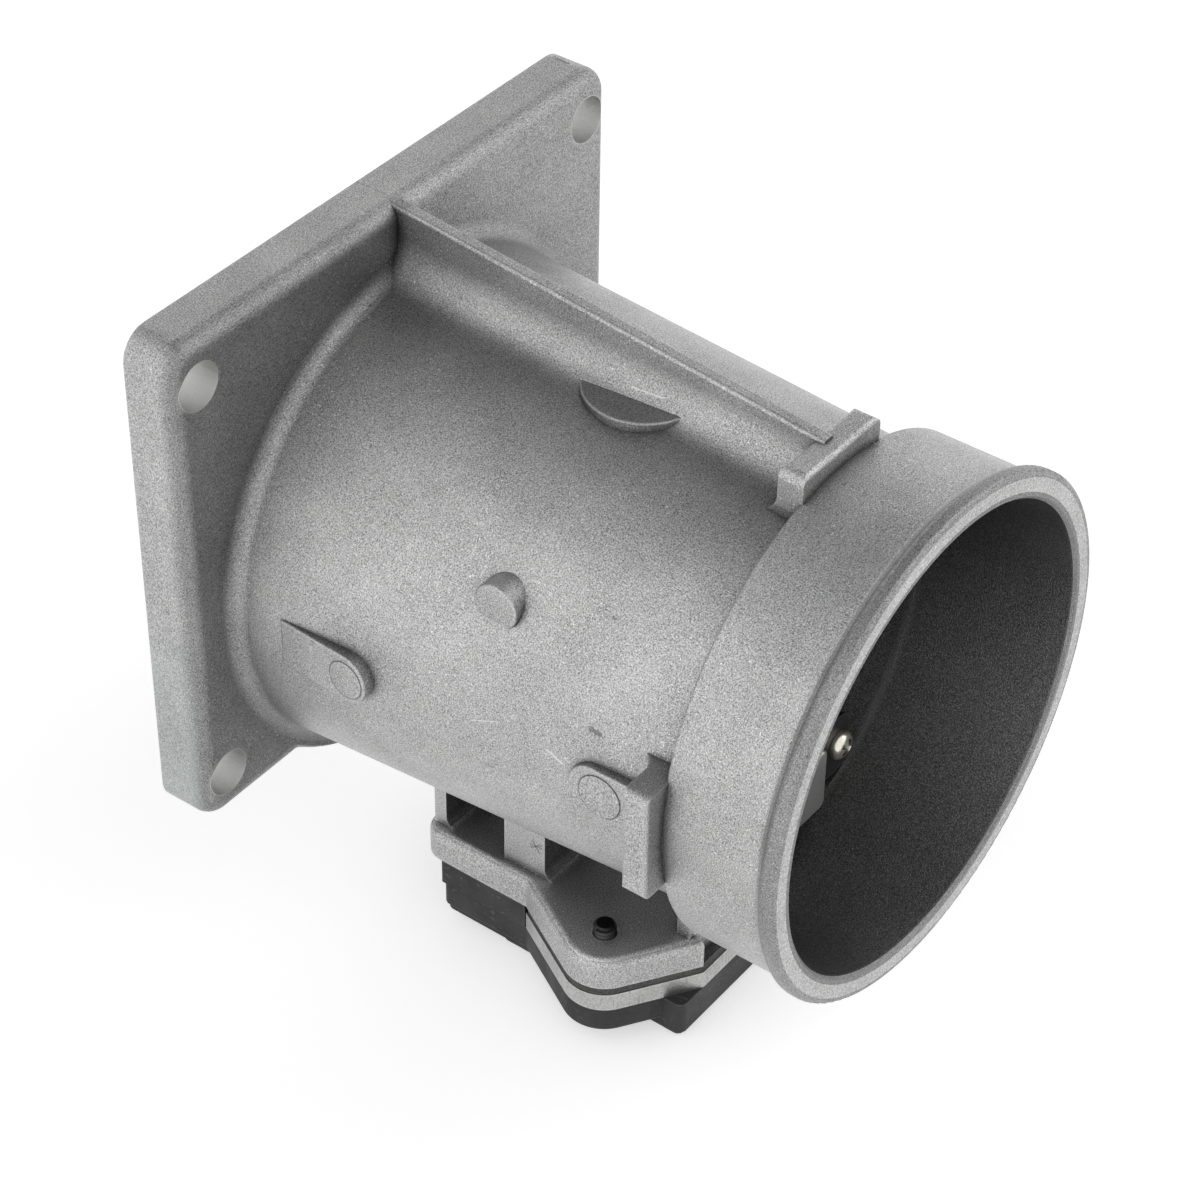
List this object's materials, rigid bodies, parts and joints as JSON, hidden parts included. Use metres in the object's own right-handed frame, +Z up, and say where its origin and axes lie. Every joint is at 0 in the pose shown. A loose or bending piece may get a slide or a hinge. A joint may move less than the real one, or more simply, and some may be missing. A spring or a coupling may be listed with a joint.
{
  "type": "mass airflow sensor",
  "caption": "Cast aluminium intake duct with a bolted square flange, a hose spigot, an inner bypass passage and an electronic sensing module with a side connector under it.",
  "frame": {"origin": "on the duct's axis, in the plane of the mounting face of the flange", "axes": "+Y along the duct's axis, out of the mounting face; +Z up, away from the electronic module; +X towards the connector"},
  "size_m": [0.108, 0.114, 0.125],
  "materials": {
    "cast_aluminium": "fine-grained cast surface, satin",
    "plug_aluminium": "satin",
    "plate_steel": "dull",
    "plated_steel": "zinc plated",
    "gasket": "matt sheet",
    "base_aluminium": "satin",
    "black_plastic": "matt",
    "black_steel": "black oxide",
    "board": "ceramic",
    "chip": "matt",
    "capacitor": "matt",
    "resistor": "matt",
    "tinned_brass": "tinned",
    "ribbon": "bright",
    "seal_rubber": "matt",
    "ceramic": "glazed ceramic"
  },
  "bodies": {
    "root": {"sensor_body": "cast_aluminium", "bypass_end_plug": "plug_aluminium", "bypass_retaining_plate": "plate_steel", "retaining_plate_screws": "plated_steel", "module_gasket": "gasket", "module_base_plate": "base_aluminium", "module_housing": "black_plastic", "module_lid": "black_plastic", "module_screws": "black_steel", "screw_washers": "black_steel", "circuit_board": "board", "power_transistor": "chip", "control_chips": "chip", "board_capacitors": "capacitor", "trim_resistors": "resistor", "connector_terminals": "tinned_brass", "terminal_ribbons": "ribbon", "probe_holder": "black_plastic", "probe_seal_ring": "seal_rubber", "lead_posts": "plated_steel", "hot_wire": "ceramic", "cold_wire": "ceramic", "probe_ribbons": "ribbon"}
  },
  "joints": []
}
